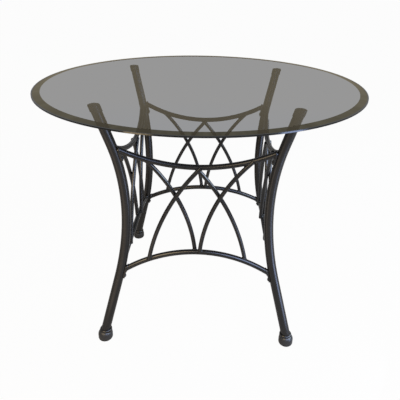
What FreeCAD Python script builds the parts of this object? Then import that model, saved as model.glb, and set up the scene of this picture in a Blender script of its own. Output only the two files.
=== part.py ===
import FreeCAD, Part
import math
import os

# Round table: a bevelled smoked glass disc lies loose on four bent steel tube legs, which four lattice
# panels of bent bar and rod hold apart. Each panel is screwed to its two legs through welded tabs.
# Millimetres, +Z up. The origin is on the floor, on the table's axis. The front faces -Y.

Vector = FreeCAD.Vector
UP = Vector(0, 0, 1)

# Glass top
table_height = 765.0
glass_diameter = 1000.0
glass_thickness = 6.0
bevel_width = 23.5
bevel_depth = 2.0
glass_arris = 0.5

# Legs: one bend, straight and leaning at both ends, narrowest at the waist below the glass's upper face
leg_diameter = 28.0
leg_wall = 2.0
leg_waist_radius = 300.5
leg_waist_drop = 341.5
leg_bend_radius = 667.0
leg_end_lean = 19.5

# Caps on the legs' top ends, which carry the glass
cap_wall = 1.4
cap_height = 20.0
cap_top_thickness = 4.0
cap_edge_radius = 3.0
cap_gap = 0.15

# Feet: a ball cut flat on the floor, and a collar that seats on it round the tube
foot_diameter = 44.0
foot_cup_height = 34.0
foot_cup_edge_radius = 7.0
foot_dome_radius = 16.0
foot_axis_height = 27.0
foot_collar_diameter = 37.0
foot_collar_bottom = 25.0
foot_collar_top = 37.5
foot_collar_edge_radius = 4.0
foot_collar_axis_height = 35.0
foot_seat_gap = 0.1
foot_socket_gap = 0.15
tube_end_height = 18.0

# Panel rails: bent round bars. Their ends lie this far below the glass's upper face and above the floor
rail_diameter = 16.0
top_rail_drop = 135.5
top_rail_sag = 62.5
bottom_rail_height = 215.0
bottom_rail_rise = 68.5

# Lattice rods: a pointed arch that stands on the bottom rail and one that hangs from the top rail
rod_diameter = 12.5
arch_foot_offset = 147.0
arch_head_overlap = 9.0
arch_bulge = 25.0
hanging_arch_head_offset = 156.0
hanging_arch_foot_offset = 7.5
hanging_arch_bulge = 31.0
rod_crossing_gap = 0.2
weld_gap = 0.15

# Tabs welded to the rails' ends, and the screws and threaded inserts that hold them to the legs
tab_thickness = 3.5
tab_width = 18.0
tab_drop = 24.0
tab_saddle_depth = 1.5
tab_seat_gap = 0.1
screw_diameter = 6.0
screw_head_diameter = 10.5
screw_head_height = 3.3
screw_socket_width = 4.0
screw_socket_depth = 2.0
screw_tip_offset = 4.5
screw_hole_gap = 0.2
insert_diameter = 9.0
insert_bulge_diameter = 11.0
insert_bulge_length = 2.2
insert_inner_offset = 6.0
insert_gap = 0.1

# Values that follow from the sizes above
end_lean = math.radians(leg_end_lean)
glass_underside = table_height - glass_thickness
leg_radius = leg_diameter / 2
leg_waist_height = table_height - leg_waist_drop
top_rail_height = table_height - top_rail_drop
rail_radius = rail_diameter / 2
rod_radius = rod_diameter / 2
bend_half_height = leg_bend_radius * math.sin(end_lean)
rod_layer = rod_radius + rod_crossing_gap / 2
cope_radius = rail_radius + weld_gap
cope_reach = 4 * rail_diameter
tab_face_distance = leg_radius + tab_seat_gap + tab_thickness
beyond = glass_diameter

CORNERS = ("front_left", "front_right", "back_right", "back_left")
PANELS = ("front", "right", "back", "left")


def leg_centre_radius(height):
    """Distance of a leg's centre line from the table's axis."""
    rise = abs(height - leg_waist_height)
    if rise <= bend_half_height:
        return leg_waist_radius + leg_bend_radius - math.sqrt(leg_bend_radius ** 2 - rise ** 2)
    bend_offset = leg_bend_radius * (1 - math.cos(end_lean))
    return leg_waist_radius + bend_offset + (rise - bend_half_height) * math.tan(end_lean)


def leg_lean_at(height):
    """Angle of a leg's centre line from the vertical, positive where it spreads upwards."""
    sine = (height - leg_waist_height) / leg_bend_radius
    limit = math.sin(end_lean)
    return math.asin(max(-limit, min(limit, sine)))


def on_corner(radius, height):
    """Point above the diagonal of the front left leg."""
    side = -radius / math.sqrt(2)
    return Vector(side, side, height)


def leg_point(height):
    return on_corner(leg_centre_radius(height), height)


def leg_direction(height):
    lean = leg_lean_at(height)
    return on_corner(math.sin(lean), math.cos(lean))


def disc(radius, centre, normal):
    return Part.Face(Part.Wire(Part.makeCircle(radius, centre, normal)))


def bent_bar(radius, start, middle, end):
    """Round bar along the arc through three points."""
    arc = Part.Arc(start, middle, end).toShape()
    section = disc(radius, start, arc.tangentAt(arc.FirstParameter))
    angle = math.degrees(arc.LastParameter - arc.FirstParameter)
    return section.revolve(arc.Curve.Center, arc.Curve.Axis, angle)


def straight_bar(radius, start, end):
    run = end - start
    return Part.makeCylinder(radius, run.Length, start, run)


def slab(bottom, top):
    """Everything between two heights."""
    return Part.makeBox(2 * beyond, 2 * beyond, top - bottom, Vector(-beyond, -beyond, bottom))


def leg_bar(radius, end_height, top_height):
    """Solid bar along the front left leg, square at its foot and level at its top."""
    bend_bottom = leg_point(leg_waist_height - bend_half_height)
    bend_top = leg_point(leg_waist_height + bend_half_height)
    foot = straight_bar(radius, leg_point(end_height), bend_bottom)
    bend = bent_bar(radius, bend_bottom, leg_point(leg_waist_height), bend_top)
    head = straight_bar(radius, bend_top, leg_point(top_height + leg_diameter))
    bar = foot.multiFuse([bend, head]).removeSplitter()
    return bar.common(slab(0, top_height))


class Rail:
    """Centre line of a rail: an arc between the legs' centre lines, in a plane that leans as the legs do."""

    def __init__(self, end_height, middle_rise):
        self.end_height = end_height
        self.start = leg_point(end_height)
        self.half_span = -self.start.x
        inward = abs(middle_rise) * math.tan(end_lean) / math.sqrt(2)
        self.bow = Vector(0, inward, middle_rise)
        self.depth = self.bow.Length
        self.radius = (self.half_span ** 2 + self.depth ** 2) / (2 * self.depth)

    def point(self, x):
        drop = math.sqrt(self.radius ** 2 - x ** 2) - (self.radius - self.depth)
        return Vector(x, self.start.y, self.end_height) + self.bow * (drop / self.depth)

    def bar(self, radius):
        return bent_bar(radius, self.start, self.point(0), self.point(self.half_span))

    def stretch(self, radius, x, reach):
        """Part of the bar, as far as its reach to both sides of a place."""
        return bent_bar(radius, self.point(x - reach), self.point(x), self.point(x + reach))


top_rail = Rail(top_rail_height, -top_rail_sag)
bottom_rail = Rail(bottom_rail_height, bottom_rail_rise)


class Fixing:
    """Where the left end of one of the front rails is held to the front left leg, measured from the screw."""

    def __init__(self, rail):
        self.sit_at(rail.end_height)
        weld_height = rail.end_height + self.weld_distance(rail) * self.along.z
        self.sit_at(weld_height - tab_drop)
        self.weld = self.weld_distance(rail)

    def sit_at(self, height):
        self.origin = leg_point(height)
        self.along = leg_direction(height)
        self.across = Vector(1, 0, 0) - self.along * self.along.x
        self.across.normalize()
        self.side = self.along.cross(self.across)

    def weld_distance(self, rail):
        """Distance along the leg to where the rail's centre line reaches the tab's face."""
        near, far = -rail.half_span, 0.0
        for step in range(50):
            x = (near + far) / 2
            reach = (rail.point(x) - self.origin).dot(self.across)
            if reach < tab_face_distance:
                near = x
            else:
                far = x
        return (rail.point(near) - self.origin).dot(self.along)

    def place(self, along, across, side=0.0):
        return self.origin + self.along * along + self.across * across + self.side * side

    def post(self, radius, inner, outer):
        """Round post on the screw's axis, between two distances from the leg's centre line."""
        return straight_bar(radius, self.place(0, inner), self.place(0, outer))

    def plate(self, inner, outer):
        """Slot-shaped plate from the weld to the screw, between two distances from the leg's centre line."""
        half = tab_width / 2
        left_low = self.place(0, inner, half)
        left_high = self.place(self.weld, inner, half)
        right_high = self.place(self.weld, inner, -half)
        right_low = self.place(0, inner, -half)
        edges = [
            Part.LineSegment(left_low, left_high),
            Part.Arc(left_high, self.place(self.weld + half, inner), right_high),
            Part.LineSegment(right_high, right_low),
            Part.Arc(right_low, self.place(-half, inner), left_low),
        ]
        outline = Part.Wire([edge.toShape() for edge in edges])
        return Part.Face(outline).extrude(self.across * (outer - inner))

    def behind_tab(self):
        """Space on the leg's side of the tab's face, which trims the rail."""
        corner = self.place(self.weld - beyond / 2, tab_face_distance - beyond, -beyond / 2)
        block = Part.makeBox(beyond, beyond, beyond)
        axes = FreeCAD.Rotation(self.across, self.side, self.along, "XYZ")
        block.Placement = FreeCAD.Placement(corner, axes)
        return block


FIXINGS = (Fixing(top_rail), Fixing(bottom_rail))


def mirrored(shape):
    """The same piece at the right end of the front panel."""
    return shape.mirror(Vector(0, 0, 0), Vector(1, 0, 0))


def turned(shape, quarter_turns):
    copy = shape.copy()
    copy.rotate(Vector(0, 0, 0), UP, 90 * quarter_turns)
    return copy


def lowest_edge(shape):
    return min(shape.Edges, key=lambda edge: edge.CenterOfMass.z)


def highest_edge(shape):
    return max(shape.Edges, key=lambda edge: edge.CenterOfMass.z)


def make_glass():
    radius = glass_diameter / 2
    bevel_foot = table_height - bevel_depth
    outline = [
        Vector(0, 0, glass_underside),
        Vector(radius - glass_arris, 0, glass_underside),
        Vector(radius, 0, glass_underside + glass_arris),
        Vector(radius, 0, bevel_foot),
        Vector(radius - bevel_width, 0, table_height),
        Vector(0, 0, table_height),
        Vector(0, 0, glass_underside),
    ]
    section = Part.Face(Part.makePolygon(outline))
    return section.revolve(Vector(0, 0, 0), UP, 360)


def all_fixing_posts(radius, inner, outer):
    """Posts at the four fixings of the front left leg, two for each panel that meets it."""
    front = [fixing.post(radius, inner, outer) for fixing in FIXINGS]
    left = [turned(mirrored(post), -1) for post in front]
    return front + left


def make_leg():
    top = glass_underside - cap_top_thickness - cap_gap
    outer = leg_bar(leg_radius, tube_end_height, top)
    bore = leg_bar(leg_radius - leg_wall, tube_end_height, top)
    holes = all_fixing_posts(insert_diameter / 2 + insert_gap, 0, leg_diameter)
    return outer.cut(bore).cut(holes)


def make_inserts():
    flush = math.sqrt(leg_radius ** 2 - (insert_diameter / 2) ** 2)
    bore_in_tube = leg_radius - leg_wall
    bulge_end = math.sqrt(bore_in_tube ** 2 - (insert_bulge_diameter / 2) ** 2) - insert_gap
    bodies = all_fixing_posts(insert_diameter / 2, insert_inner_offset, flush)
    bulges = all_fixing_posts(insert_bulge_diameter / 2, bulge_end - insert_bulge_length, bulge_end)
    bores = all_fixing_posts((screw_diameter + screw_hole_gap) / 2, 0, leg_diameter)
    return [body.fuse(bulge).cut(bore) for body, bulge, bore in zip(bodies, bulges, bores)]


def make_cap():
    reach = leg_point(glass_underside + leg_diameter)
    start = leg_point(glass_underside - cap_height - leg_diameter)
    cover = straight_bar(leg_radius + cap_wall, start, reach)
    cover = cover.common(slab(glass_underside - cap_height, glass_underside))
    cover = cover.makeFillet(cap_edge_radius, [highest_edge(cover)])
    bore = straight_bar(leg_radius + cap_gap, start, reach)
    return cover.cut(bore.common(slab(0, glass_underside - cap_top_thickness)))


def foot_ball(growth):
    """Ball of the front left foot, cut flat on the floor. Growth adds to its size above the floor."""
    centre = leg_point(foot_axis_height)
    floor = Vector(centre.x, centre.y, 0)
    ball = Part.makeCylinder(foot_diameter / 2 + growth, foot_cup_height + growth, floor)
    ball = ball.makeFillet(foot_cup_edge_radius + growth, [lowest_edge(ball)])
    return ball.makeFillet(foot_dome_radius + growth, [highest_edge(ball)])


def make_foot():
    """Collar and cup of the front left foot, both bored for the tube."""
    centre = leg_point(foot_collar_axis_height)
    bottom = Vector(centre.x, centre.y, foot_collar_bottom)
    collar = Part.makeCylinder(foot_collar_diameter / 2, foot_collar_top - foot_collar_bottom, bottom)
    collar = collar.makeFillet(foot_collar_edge_radius, [highest_edge(collar)])
    collar = collar.cut(foot_ball(foot_seat_gap))
    socket_end = tube_end_height - foot_socket_gap
    socket = leg_bar(leg_radius + foot_socket_gap, socket_end, leg_waist_height)
    return collar.cut(socket), foot_ball(0).cut(socket)


def make_rail(rail, fixing):
    trim = fixing.behind_tab()
    return rail.bar(rail_radius).cut(trim).cut(mirrored(trim))


def rod_points(low, high, bulge):
    """Ends and middle of a rod that is bent sideways by its bulge."""
    chord = high - low
    sideways = Vector(-chord.z, 0, chord.x)
    sideways.normalize()
    return low, (low + high) * 0.5 + sideways * bulge, high


def arch_points(side):
    """Half of the standing arch, left of the middle for side -1 and right of it for side 1."""
    low = bottom_rail.point(side * arch_foot_offset)
    high = top_rail.point(-side * arch_head_overlap)
    return rod_points(low, high, -side * arch_bulge)


def hanging_arch_points(side):
    low = bottom_rail.point(side * hanging_arch_foot_offset)
    high = top_rail.point(side * hanging_arch_head_offset)
    return rod_points(low, high, side * hanging_arch_bulge)


def crossing_setback():
    """How far the hanging arch moves back to meet the standing one where their rods cross."""
    arch = Part.Arc(*arch_points(-1)).toShape()
    hanging_arch = Part.Arc(*hanging_arch_points(-1)).toShape()
    nearest_pairs = arch.distToShape(hanging_arch)[1]
    on_arch, on_hanging_arch = nearest_pairs[0]
    return on_arch.y - on_hanging_arch.y


def make_rod(points, setback, copes):
    """Round rod, set back from the rails' centre lines and coped to them."""
    shift = Vector(0, setback, 0)
    bar = bent_bar(rod_radius, *[point + shift for point in points])
    return max(bar.cut(copes).Solids, key=lambda solid: solid.Volume)


def make_arch_rod(side, setback):
    """Rod of the standing arch, which meets only a short stretch of each rail."""
    low, middle, high = arch_points(side)
    top_cope = top_rail.stretch(cope_radius, high.x, cope_reach)
    bottom_cope = bottom_rail.stretch(cope_radius, low.x, cope_reach)
    return make_rod((low, middle, high), setback, [top_cope, bottom_cope])


def make_hanging_arch_rod(side, setback):
    """Rod of the hanging arch, which meets the top rail at a slant and may lie along much of it."""
    copes = [top_rail.bar(cope_radius), bottom_rail.bar(cope_radius)]
    return make_rod(hanging_arch_points(side), setback, copes)


def make_tab(fixing):
    plate = fixing.plate(leg_radius - tab_saddle_depth, tab_face_distance)
    leg_space = leg_bar(leg_radius + tab_seat_gap, tube_end_height, glass_underside)
    hole = fixing.post((screw_diameter + screw_hole_gap) / 2, 0, 2 * leg_diameter)
    return plate.cut(leg_space).cut(hole)


def make_screw(fixing):
    """Button head screw with a hexagon socket, from the tab's face into the insert."""
    shank = fixing.post(screw_diameter / 2, screw_tip_offset, tab_face_distance)
    head_radius = screw_head_diameter / 2
    crown_radius = (head_radius ** 2 + screw_head_height ** 2) / (2 * screw_head_height)
    crown_centre = tab_face_distance + screw_head_height - crown_radius
    crown = Part.makeSphere(crown_radius, fixing.place(0, crown_centre))
    head = fixing.post(crown_radius, tab_face_distance, tab_face_distance + screw_head_height).common(crown)
    head_top = tab_face_distance + screw_head_height
    corner_radius = screw_socket_width / math.sqrt(3)
    corners = []
    for corner in range(7):
        angle = math.radians(60 * corner)
        along = corner_radius * math.cos(angle)
        side = corner_radius * math.sin(angle)
        corners.append(fixing.place(along, head_top - screw_socket_depth, side))
    socket = Part.Face(Part.makePolygon(corners)).extrude(fixing.across * screw_head_height)
    return head.cut(socket).fuse(shank).removeSplitter()


def both_ends(make_piece):
    """One piece at each of the front panel's four fixings."""
    left = [make_piece(fixing) for fixing in FIXINGS]
    return left + [mirrored(piece) for piece in left]


def make_panel():
    """The nodes of the front panel, by name. The rods that rise to the right lie in front of the others."""
    setback = crossing_setback()
    return {
        "top_rail": make_rail(top_rail, FIXINGS[0]),
        "bottom_rail": make_rail(bottom_rail, FIXINGS[1]),
        "arch_rod_left": make_arch_rod(-1, -rod_layer),
        "arch_rod_right": make_arch_rod(1, rod_layer),
        "hanging_arch_rod_left": make_hanging_arch_rod(-1, setback + rod_layer),
        "hanging_arch_rod_right": make_hanging_arch_rod(1, setback - rod_layer),
        "tabs": Part.makeCompound(both_ends(make_tab)),
        "screws": Part.makeCompound(both_ends(make_screw)),
    }


def make_corner():
    """The nodes of the front left leg, by name."""
    collar, cup = make_foot()
    return {
        "leg": make_leg(),
        "leg_cap": make_cap(),
        "foot_collar": collar,
        "foot_cup": cup,
        "leg_inserts": Part.makeCompound(make_inserts()),
    }


def make_table():
    nodes = {"glass_top": make_glass()}
    panel = make_panel()
    corner = make_corner()
    for quarter in range(4):
        for name, shape in panel.items():
            nodes[PANELS[quarter] + "_" + name] = turned(shape, quarter)
        for name, shape in corner.items():
            nodes[name + "_" + CORNERS[quarter]] = turned(shape, quarter)
    return nodes


os.makedirs("parts", exist_ok=True)
for node, shape in make_table().items():
    shape.exportStep("parts/" + node + ".step")
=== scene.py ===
import math

import bmesh
import bpy
from mathutils import Matrix, Quaternion, Vector


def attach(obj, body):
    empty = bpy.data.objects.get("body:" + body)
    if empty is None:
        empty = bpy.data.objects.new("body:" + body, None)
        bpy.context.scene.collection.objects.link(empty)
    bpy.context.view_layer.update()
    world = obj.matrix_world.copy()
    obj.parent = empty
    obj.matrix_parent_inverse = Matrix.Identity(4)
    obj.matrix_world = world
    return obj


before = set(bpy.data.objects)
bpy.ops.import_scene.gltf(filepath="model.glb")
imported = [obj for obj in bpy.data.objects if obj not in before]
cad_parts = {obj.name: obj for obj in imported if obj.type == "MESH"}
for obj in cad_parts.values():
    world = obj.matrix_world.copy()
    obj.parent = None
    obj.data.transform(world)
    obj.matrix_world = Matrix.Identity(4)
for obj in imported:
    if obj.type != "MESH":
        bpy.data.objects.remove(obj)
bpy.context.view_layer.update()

scene = bpy.context.scene
scene.view_settings.view_transform = "Standard"

PANELS = ("front", "right", "back", "left")

# Bounds between which a noise texture has most of its values
NARROW = (0.35, 0.65)
WIDE = (0.3, 0.7)

# Glass, whose faces are told apart by how level they lie, as the size of the normal's upward part
RIM_LEVEL = 0.8
BEVEL_LEVEL = 0.9985
DARK_EDGE_RADIUS = 0.4965
MOST_SHINE_ON_FLAT = 0.25
MOST_SHINE_ON_BEVEL = 0.6

# Legs, tabs, rails and rods of the front panel, which the weld beads follow
SIDE = math.sqrt(0.5)
LEG_LEAN = math.radians(19.5)
LEG_WAIST_RADIUS = 0.3005
LEG_WAIST_HEIGHT = 0.4235
LEG_BEND_RADIUS = 0.667
TAB_FACE_DISTANCE = 0.0176
TAB_DROP = 0.024
TOP_RAIL_HEIGHT = 0.6295
TOP_RAIL_RISE = -0.0625
BOTTOM_RAIL_HEIGHT = 0.215
BOTTOM_RAIL_RISE = 0.0685
RAIL_RADIUS = 0.008
ROD_RADIUS = 0.00625
ROD_LAYER = 0.00635
ARCH_FOOT_OFFSET = 0.147
ARCH_HEAD_OVERLAP = 0.009
ARCH_BULGE = 0.025
HANGING_ARCH_HEAD_OFFSET = 0.156
HANGING_ARCH_FOOT_OFFSET = 0.0075
HANGING_ARCH_BULGE = 0.031
HANGING_ARCH_SETBACK = 0.00149

# Weld beads
BEAD_RADIUS = 0.0021
BEAD_STEPS = 44
BEAD_SIDES = 10
RIPPLE_DEPTH = 0.12
RIPPLE_TURN = 2.1
TAPER_POWER = 0.4

# Camera, as fitted to the photograph
PICTURE_PIXELS = 400
FOCAL_PIXELS = 427.27
CENTRE_PIXEL_X = 215.738
CENTRE_PIXEL_Y = 140.0
CAMERA_PLACE = Vector((0.0593, -1.32439, 1.0655))
HEADING = math.radians(-0.5187)
PITCH = math.radians(20.5513)
ROLL = math.radians(1.2962)
SENSOR_MILLIMETRES = 36.0

# Floor and lamps
FLOOR_REACH = 30.0
FLOOR_GAP = 0.0002
FLOOR_STRIP_HEIGHT = 0.03
FOOT_CARD_HEIGHT = 0.105
COOL = (0.66, 0.80, 1.0)
BLUE = (0.50, 0.63, 1.0)
WARM = (1.0, 0.78, 0.47)
SAND = (1.0, 0.80, 0.62)


# Node helpers

class Graph:
    """A material's or the world's node tree, with short ways to add nodes and links."""

    def __init__(self, owner):
        owner.use_nodes = True
        self.tree = owner.node_tree
        self.tree.nodes.clear()

    def node(self, kind, sockets=None, **settings):
        made = self.tree.nodes.new(kind)
        for name, value in settings.items():
            setattr(made, name, value)
        for name, value in (sockets or {}).items():
            self.set(made.inputs[name], value)
        return made

    def set(self, socket, value):
        if isinstance(value, bpy.types.NodeSocket):
            self.tree.links.new(value, socket)
        else:
            socket.default_value = value

    def math(self, operation, *values):
        made = self.node("ShaderNodeMath", operation=operation)
        for socket, value in zip(made.inputs, values):
            self.set(socket, value)
        return made.outputs[0]

    def mix_colour(self, factor, first, second):
        made = self.node("ShaderNodeMix", data_type="RGBA")
        self.set(made.inputs[0], factor)
        self.set(made.inputs[6], first)
        self.set(made.inputs[7], second)
        return made.outputs[2]

    def mix_shader(self, factor, first, second):
        made = self.node("ShaderNodeMixShader")
        self.set(made.inputs[0], factor)
        self.set(made.inputs[1], first)
        self.set(made.inputs[2], second)
        return made.outputs[0]

    def span(self, value, bounds, to=(0.0, 1.0)):
        """A value between two bounds, moved to lie between two others."""
        low, high = bounds
        to_low, to_high = to
        sockets = {"Value": value, "From Min": low, "From Max": high, "To Min": to_low, "To Max": to_high}
        return self.node("ShaderNodeMapRange", sockets).outputs[0]

    def noise(self, where, scale, detail=3.0, roughness=0.5):
        sockets = {"Vector": where, "Scale": scale, "Detail": detail, "Roughness": roughness}
        return self.node("ShaderNodeTexNoise", sockets).outputs[0]

    def place(self):
        return self.node("ShaderNodeTexCoord").outputs["Object"]

    def seen_ray(self, straight, mirrored):
        """How much of the white background a ray sees: straight on and through glass, or in a reflection."""
        path = self.node("ShaderNodeLightPath").outputs
        seen = self.math("MAXIMUM", path["Is Camera Ray"], path["Is Transmission Ray"])
        in_mirror = self.math("MULTIPLY", path["Is Glossy Ray"], mirrored)
        return self.math("MAXIMUM", self.math("MULTIPLY", seen, straight), in_mirror)

    def finish(self, surface, kind="ShaderNodeOutputMaterial"):
        self.node(kind, {"Surface": surface})


def colour(red, green, blue):
    return (red, green, blue, 1.0)


# Materials

def make_enamel():
    """Satin black enamel on steel, a little uneven."""
    material = bpy.data.materials.new("black_enamel")
    graph = Graph(material)
    where = graph.place()
    dark = colour(0.0035, 0.0031, 0.0026)
    light = colour(0.0072, 0.0063, 0.0052)
    clouds = graph.span(graph.noise(where, scale=22.0, detail=4.0), NARROW)
    grain = graph.noise(where, scale=420.0, detail=2.0)
    bump = graph.node("ShaderNodeBump", {"Strength": 0.015, "Distance": 0.0004, "Height": grain})
    shader = graph.node("ShaderNodeBsdfPrincipled", {
        "Base Color": graph.mix_colour(clouds, dark, light),
        "Roughness": graph.span(graph.noise(where, scale=30.0), WIDE, to=(0.19, 0.25)),
        "Normal": bump.outputs[0],
        "Specular IOR Level": 0.6,
    })
    graph.finish(shader.outputs[0])
    return material


def make_rubber():
    """Black rubber with a fine grain."""
    material = bpy.data.materials.new("black_rubber")
    graph = Graph(material)
    where = graph.place()
    dark = colour(0.014, 0.0135, 0.013)
    light = colour(0.024, 0.023, 0.022)
    clouds = graph.span(graph.noise(where, scale=40.0), NARROW)
    grain = graph.noise(where, scale=700.0)
    bump = graph.node("ShaderNodeBump", {"Strength": 0.08, "Distance": 0.0003, "Height": grain})
    shader = graph.node("ShaderNodeBsdfPrincipled", {
        "Base Color": graph.mix_colour(clouds, dark, light),
        "Roughness": 0.34,
        "Normal": bump.outputs[0],
        "Specular IOR Level": 0.6,
    })
    graph.finish(shader.outputs[0])
    return material


def make_steel(name, dark, light, metallic, roughness):
    """Steel whose colour and roughness vary in small patches."""
    material = bpy.data.materials.new(name)
    graph = Graph(material)
    clouds = graph.span(graph.noise(graph.place(), scale=300.0), NARROW)
    shader = graph.node("ShaderNodeBsdfPrincipled", {
        "Base Color": graph.mix_colour(clouds, dark, light),
        "Metallic": metallic,
        "Roughness": graph.span(clouds, (0.0, 1.0), to=(roughness, roughness + 0.1)),
    })
    graph.finish(shader.outputs[0])
    return material


def make_glass():
    """Grey smoked glass. It dims what lies behind it at each face, most of all through the ground bevel,
    where the extra darkness is painted reflection.
    """
    material = bpy.data.materials.new("smoked_glass")
    graph = Graph(material)
    where = graph.place()
    spot = graph.node("ShaderNodeSeparateXYZ", {"Vector": where}).outputs
    geometry = graph.node("ShaderNodeNewGeometry").outputs

    # Flat, bevel, and the rim with a dark band beside it
    tilt = graph.node("ShaderNodeSeparateXYZ", {"Vector": geometry["True Normal"]}).outputs["Z"]
    level = graph.math("ABSOLUTE", tilt)
    on_bevel = graph.math("LESS_THAN", level, BEVEL_LEVEL)
    on_rim = graph.math("LESS_THAN", level, RIM_LEVEL)
    squares = graph.math("ADD", graph.math("POWER", spot["X"], 2.0), graph.math("POWER", spot["Y"], 2.0))
    at_edge = graph.math("GREATER_THAN", graph.math("SQRT", squares), DARK_EDGE_RADIUS)

    # Tint: the bevel is clear from above and dark at a slant, in streaks that cross it. This darkening and
    # its streaks are a painted reflection, in place of the surroundings that the bevel mirrors. On the rim
    # the same streaks only vary its own dark tone.
    around = graph.math("ARCTAN2", spot["X"], spot["Y"])
    band = graph.node("ShaderNodeCombineXYZ", {"X": around}).outputs[0]
    streaks_and_painted_bands = graph.span(graph.noise(band, scale=9.0, detail=4.0, roughness=0.6), NARROW)
    painted_bevel_reflection = graph.mix_colour(streaks_and_painted_bands, colour(0.015, 0.018, 0.014), colour(0.075, 0.075, 0.055))
    facing = graph.node("ShaderNodeLayerWeight", {"Blend": 0.5}).outputs["Facing"]
    bevel = graph.mix_colour(graph.span(facing, (0.25, 0.55)), colour(0.40, 0.405, 0.41), painted_bevel_reflection)
    # The flat keeps the glass's own grey; the bevel gets the painted reflection
    tint = graph.mix_colour(on_bevel, colour(0.536, 0.551, 0.581), bevel)
    see_through = graph.node("ShaderNodeBsdfTransparent", {"Color": tint})

    # Shine: on the outer side of each face only, with faint smears. Its warm gold colour is a painted
    # reflection of warm surroundings.
    smears = graph.span(graph.noise(where, scale=7.0, detail=4.0), WIDE, to=(0.015, 0.035))
    shine_with_painted_warm_tint = graph.node("ShaderNodeBsdfAnisotropic", {"Color": colour(0.88, 0.76, 0.53), "Roughness": smears})
    fresnel = graph.node("ShaderNodeFresnel", {"IOR": 1.5}).outputs[0]
    most_shine = graph.span(on_bevel, (0.0, 1.0), to=(MOST_SHINE_ON_FLAT, MOST_SHINE_ON_BEVEL))
    outside = graph.math("SUBTRACT", 1.0, geometry["Backfacing"])
    share = graph.math("MULTIPLY", graph.math("MINIMUM", fresnel, most_shine), outside)
    pane = graph.mix_shader(share, see_through.outputs[0], shine_with_painted_warm_tint.outputs[0])

    rim = graph.node("ShaderNodeBsdfPrincipled", {
        "Base Color": graph.mix_colour(streaks_and_painted_bands, colour(0.010, 0.012, 0.012), colour(0.016, 0.018, 0.018)),
        "Roughness": 0.12,
        "Specular IOR Level": 0.6,
    })
    graph.finish(graph.mix_shader(graph.math("MAXIMUM", on_rim, at_edge), pane, rim.outputs[0]))
    return material


enamel = make_enamel()
rubber = make_rubber()
smoked_glass = make_glass()
screw_steel = make_steel(
    "screw_steel", dark=colour(0.02, 0.02, 0.021), light=colour(0.035, 0.035, 0.036),
    metallic=0.3, roughness=0.32)
insert_steel = make_steel(
    "insert_steel", dark=colour(0.52, 0.51, 0.47), light=colour(0.66, 0.65, 0.6),
    metallic=1.0, roughness=0.3)


def material_for(name):
    if name == "glass_top":
        return smoked_glass
    if "cap" in name or "cup" in name:
        return rubber
    if "screws" in name:
        return screw_steel
    if "inserts" in name:
        return insert_steel
    return enamel


for name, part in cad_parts.items():
    if not part.material_slots:
        part.data.materials.append(None)
    for slot in part.material_slots:
        slot.material = material_for(name)


# Weld beads at the ends of the rods and rails

def leg_point(height):
    """Point on the centre line of the front left leg's bend."""
    rise = height - LEG_WAIST_HEIGHT
    radius = LEG_WAIST_RADIUS + LEG_BEND_RADIUS - math.sqrt(LEG_BEND_RADIUS ** 2 - rise ** 2)
    return Vector((-radius * SIDE, -radius * SIDE, height))


class Rail:
    """Centre line of a front rail: an arc between the legs, in a plane that leans as they do."""

    def __init__(self, end_height, middle_rise):
        self.end = leg_point(end_height)
        self.half_span = -self.end.x
        self.bow = Vector((0.0, abs(middle_rise) * math.tan(LEG_LEAN) * SIDE, middle_rise))
        self.depth = self.bow.length
        self.radius = (self.half_span ** 2 + self.depth ** 2) / (2 * self.depth)

    def point(self, x):
        rise = math.sqrt(self.radius ** 2 - x ** 2) - (self.radius - self.depth)
        return Vector((x, self.end.y, self.end.z)) + self.bow * (rise / self.depth)

    def direction(self, x):
        half_step = 0.0005
        return (self.point(x + half_step) - self.point(x - half_step)).normalized()


TOP_RAIL = Rail(TOP_RAIL_HEIGHT, TOP_RAIL_RISE)
BOTTOM_RAIL = Rail(BOTTOM_RAIL_HEIGHT, BOTTOM_RAIL_RISE)


def round_axis(axis, step, radius):
    """Offset from an axis at one of the steps round it."""
    angle = 2 * math.pi * step / BEAD_STEPS
    first = axis.orthogonal().normalized()
    second = axis.cross(first)
    return (first * math.cos(angle) + second * math.sin(angle)) * radius


def rod_bead(rail, x, shift, away):
    """Line along which a rod that leaves a rail at x meets it, with None where the rod misses the rail."""
    outside_rail = 0.03
    rail_point = rail.point(x)
    axis = rail.direction(x)
    line = []
    for step in range(BEAD_STEPS):
        side = round_axis(away, step, ROD_RADIUS)
        start = rail_point + Vector((0.0, shift, 0.0)) + side + away * outside_rail
        across = (start - rail_point) - axis * (start - rail_point).dot(axis)
        run = axis * away.dot(axis) - away
        along = across.dot(run)
        room = along ** 2 - run.length_squared * (across.length_squared - RAIL_RADIUS ** 2)
        if room < 0:
            line.append(None)
        else:
            line.append(start - away * ((-along - math.sqrt(room)) / run.length_squared))
    return line


def rod_beads(low_x, high_x, bulge, shift):
    """Beads at both ends of a rod, which leaves the rails at an angle because it bulges sideways."""
    chord = TOP_RAIL.point(high_x) - BOTTOM_RAIL.point(low_x)
    sideways = Vector((-chord.z, 0.0, chord.x)).normalized()
    turn = 2 * math.atan(2 * bulge / chord.length)
    up = chord.normalized() * math.cos(turn) + sideways * math.sin(turn)
    down = sideways * math.sin(turn) - chord.normalized() * math.cos(turn)
    yield rod_bead(BOTTOM_RAIL, low_x, shift, up), up
    yield rod_bead(TOP_RAIL, high_x, shift, down), down


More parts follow.
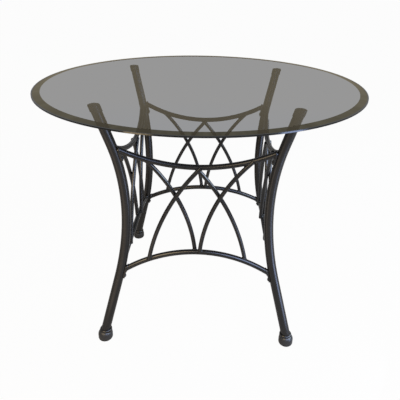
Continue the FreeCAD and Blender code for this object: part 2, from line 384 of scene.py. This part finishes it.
def rail_bead(rail):
    """Line along which the left end of a rail meets the face of its tab."""
    x = TAB_FACE_DISTANCE - rail.half_span
    height = rail.point(x).z - TAB_DROP
    sine = (height - LEG_WAIST_HEIGHT) / LEG_BEND_RADIUS
    along_leg = Vector((-sine * SIDE, -sine * SIDE, math.sqrt(1 - sine ** 2)))
    facing = (Vector((1.0, 0.0, 0.0)) - along_leg * along_leg.x).normalized()
    on_face = leg_point(height) + facing * TAB_FACE_DISTANCE
    closing_rounds = 8
    for closing_round in range(closing_rounds):
        x -= (rail.point(x) - on_face).dot(facing) / rail.direction(x).dot(facing)
    axis = rail.direction(x)
    line = []
    for step in range(BEAD_STEPS):
        point = rail.point(x) + round_axis(axis, step, RAIL_RADIUS)
        line.append(point - axis * ((point - on_face).dot(facing) / axis.dot(facing)))
    return line, axis


def add_bead(points, faces, line, axis):
    """Adds a rippled bead along a line round an axis. On a line with gaps it is open and tapers off."""
    gaps = [step for step, point in enumerate(line) if point is None]
    if gaps:
        start = max(step for step in gaps if line[(step + 1) % len(line)] is not None)
        line = [point for point in line[start + 1:] + line[:start + 1] if point is not None]
    count = len(line)
    first = len(points)
    for step, centre in enumerate(line):
        before = line[step - 1] if step or not gaps else centre
        after = line[(step + 1) % count] if step < count - 1 or not gaps else centre
        outward = (after - before).cross(axis).normalized()
        upward = outward.cross(after - before).normalized()
        taper = math.sin(math.pi * (step + 0.5) / count) ** TAPER_POWER if gaps else 1.0
        radius = BEAD_RADIUS * taper * (1.0 + RIPPLE_DEPTH * math.cos(step * RIPPLE_TURN))
        for side in range(BEAD_SIDES):
            angle = 2 * math.pi * side / BEAD_SIDES
            points.append(centre + (outward * math.cos(angle) + upward * math.sin(angle)) * radius)
    for step in range(count - 1 if gaps else count):
        for side in range(BEAD_SIDES):
            corners = ((step, side), (step, side + 1), (step + 1, side + 1), (step + 1, side))
            faces.append([first + (ring % count) * BEAD_SIDES + spot % BEAD_SIDES for ring, spot in corners])
    if gaps:
        faces.append([first + side for side in range(BEAD_SIDES)])
        faces.append([first + (count - 1) * BEAD_SIDES + side for side in range(BEAD_SIDES)])


def make_panel_beads():
    """Points and faces of the front panel's beads."""
    points, faces = [], []
    for side in (-1, 1):
        arch_rod = rod_beads(
            low_x=side * ARCH_FOOT_OFFSET, high_x=-side * ARCH_HEAD_OVERLAP,
            bulge=-side * ARCH_BULGE, shift=side * ROD_LAYER)
        hanging_arch_rod = rod_beads(
            low_x=side * HANGING_ARCH_FOOT_OFFSET, high_x=side * HANGING_ARCH_HEAD_OFFSET,
            bulge=side * HANGING_ARCH_BULGE, shift=HANGING_ARCH_SETBACK - side * ROD_LAYER)
        for rod in (arch_rod, hanging_arch_rod):
            for line, axis in rod:
                add_bead(points, faces, line, axis)
    mirror = Vector((-1.0, 1.0, 1.0))
    for rail in (TOP_RAIL, BOTTOM_RAIL):
        line, axis = rail_bead(rail)
        add_bead(points, faces, line, axis)
        add_bead(points, faces, [point * mirror for point in line], axis * mirror)
    return points, faces


def make_weld_beads():
    points, faces = make_panel_beads()
    for quarter, panel in enumerate(PANELS):
        turn = Matrix.Rotation(math.radians(90 * quarter), 3, "Z")
        mesh = bpy.data.meshes.new(panel + "_weld_beads")
        mesh.from_pydata([turn @ point for point in points], [], faces)
        shell = bmesh.new()
        shell.from_mesh(mesh)
        bmesh.ops.recalc_face_normals(shell, faces=shell.faces)
        shell.to_mesh(mesh)
        shell.free()
        mesh.polygons.foreach_set("use_smooth", [True] * len(mesh.polygons))
        mesh.materials.append(enamel)
        beads = bpy.data.objects.new(panel + "_weld_beads", mesh)
        scene.collection.objects.link(beads)
        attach(beads, "base")


make_weld_beads()


# Floor and white surroundings

def make_floor():
    """Floor that looks white, and lights and tints the bars above it as a sand-coloured one does."""
    material = bpy.data.materials.new("floor")
    graph = Graph(material)
    tone = graph.span(graph.noise(graph.place(), scale=1.5), WIDE)
    sand = graph.mix_colour(tone, colour(0.34, 0.305, 0.26), colour(0.38, 0.34, 0.29))
    plain = graph.node("ShaderNodeBsdfDiffuse", {"Color": sand})
    white = graph.node("ShaderNodeEmission", {"Color": colour(1, 1, 1), "Strength": 1.0})
    seen = graph.seen_ray(straight=0.97, mirrored=0.10)
    graph.finish(graph.mix_shader(seen, plain.outputs[0], white.outputs[0]))
    mesh = bpy.data.meshes.new("floor")
    corners = [(x * FLOOR_REACH, y * FLOOR_REACH, 0.0) for x, y in ((-1, -1), (1, -1), (1, 1), (-1, 1))]
    mesh.from_pydata(corners, [], [(0, 1, 2, 3)])
    mesh.materials.append(material)
    floor = bpy.data.objects.new("floor", mesh)
    floor.location.z = -FLOOR_GAP
    scene.collection.objects.link(floor)


def make_world():
    """White surroundings, which light the object softly."""
    world = bpy.data.worlds.new("studio")
    scene.world = world
    graph = Graph(world)
    white = graph.node("ShaderNodeBackground", {"Color": colour(1, 1, 1), "Strength": 1.0})
    soft = graph.node("ShaderNodeBackground", {"Color": colour(0.95, 0.97, 1.0), "Strength": 0.3})
    seen = graph.seen_ray(straight=1.0, mirrored=0.24)
    graph.finish(graph.mix_shader(seen, soft.outputs[0], white.outputs[0]), "ShaderNodeOutputWorld")


make_floor()
make_world()


# Lamps

def add_light(name, place, aim, width, height, brightness, tint, turn=0.0, receivers=None):
    """Rectangular studio light that shines from one place towards another, turned about that line."""
    light = bpy.data.lights.new(name, "AREA")
    light.shape = "RECTANGLE"
    light.size = width
    light.size_y = height
    light.energy = brightness * math.pi * width * height
    light.color = tint
    lamp = bpy.data.objects.new(name, light)
    lamp.location = place
    lamp.rotation_mode = "QUATERNION"
    facing = (Vector(aim) - Vector(place)).to_track_quat("-Z", "Y")
    lamp.rotation_quaternion = facing @ Quaternion((0.0, 0.0, 1.0), math.radians(turn))
    lamp.visible_camera = False
    lamp.light_linking.receiver_collection = receivers
    scene.collection.objects.link(lamp)


def add_panels():
    """Large lamps above the table. They don't light the glass, in which they would show as bright patches."""
    all_but_glass = bpy.data.collections.new("all_but_glass")
    all_but_glass.objects.link(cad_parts["glass_top"])
    all_but_glass.collection_objects[0].light_linking.link_state = "EXCLUDE"
    add_light(
        "window", place=(2.2, -0.4, 1.45), aim=(0.0, -0.1, 0.55), width=2.6, height=0.8,
        brightness=12.0, tint=COOL, receivers=all_but_glass)
    for name, side, brightness, tint in (("cool_panel", 1, 7.5, BLUE), ("warm_panel", -1, 5.5, WARM)):
        add_light(
            name, place=(side * 0.9, -1.5, 1.62), aim=(0.0, -0.2, 0.5), width=1.4, height=1.2,
            brightness=brightness, tint=tint, receivers=all_but_glass)


def add_floor_strip(name, x, y, width, height, brightness, tint, turn=0.0):
    """Lamp that lies on the floor and shines up. The upright tubes show it as a long highlight."""
    place = Vector((x, y, FLOOR_STRIP_HEIGHT))
    add_light(name, place, place + Vector((0.0, 0.0, 1.0)), width, height, brightness, tint, turn)


def add_foot_card(name, place, foot, width, height, brightness, tint):
    """Lamp that stands on the floor before a foot, for the highlight on the lower part of that leg."""
    add_light(name, (*place, FOOT_CARD_HEIGHT), (*foot, FOOT_CARD_HEIGHT), width, height, brightness, tint)


add_panels()
add_floor_strip(
    "cool_floor_strip", 1.35, -0.85, width=0.9, height=0.5, brightness=3.2, tint=BLUE, turn=-35.0)
add_floor_strip(
    "warm_floor_strip", -0.7, -0.73, width=0.9, height=0.35, brightness=0.4, tint=SAND)
add_foot_card(
    "cool_foot_card", (0.54, -0.43), (0.28, -0.28), width=0.2, height=0.2, brightness=3.0, tint=BLUE)
add_foot_card(
    "warm_foot_card", (-0.33, -0.58), (-0.3, -0.28), width=0.45, height=0.2, brightness=0.35, tint=SAND)
add_floor_strip(
    "cool_rim_strip", 2.1, -1.45, width=1.4, height=0.6, brightness=8.0, tint=BLUE, turn=61.5)
add_floor_strip(
    "warm_rim_strip", -1.45, -2.2, width=0.7, height=0.5, brightness=5.0, tint=WARM, turn=50.0)


# Camera

def make_camera():
    ahead = math.cos(PITCH)
    forward = Vector((math.sin(HEADING) * ahead, math.cos(HEADING) * ahead, -math.sin(PITCH)))
    level = Vector((math.cos(HEADING), -math.sin(HEADING), 0.0))
    upright = level.cross(forward)
    right = level * math.cos(ROLL) + upright * math.sin(ROLL)
    up = upright * math.cos(ROLL) - level * math.sin(ROLL)
    data = bpy.data.cameras.new("camera")
    data.sensor_width = SENSOR_MILLIMETRES
    data.lens = SENSOR_MILLIMETRES * FOCAL_PIXELS / PICTURE_PIXELS
    data.shift_x = 0.5 - CENTRE_PIXEL_X / PICTURE_PIXELS
    data.shift_y = CENTRE_PIXEL_Y / PICTURE_PIXELS - 0.5
    data.clip_start = 0.05
    data.clip_end = 100.0
    camera = bpy.data.objects.new("camera", data)
    turn = Matrix((right, up, -forward)).transposed()
    camera.matrix_world = Matrix.Translation(CAMERA_PLACE) @ turn.to_4x4()
    scene.collection.objects.link(camera)
    scene.camera = camera


make_camera()
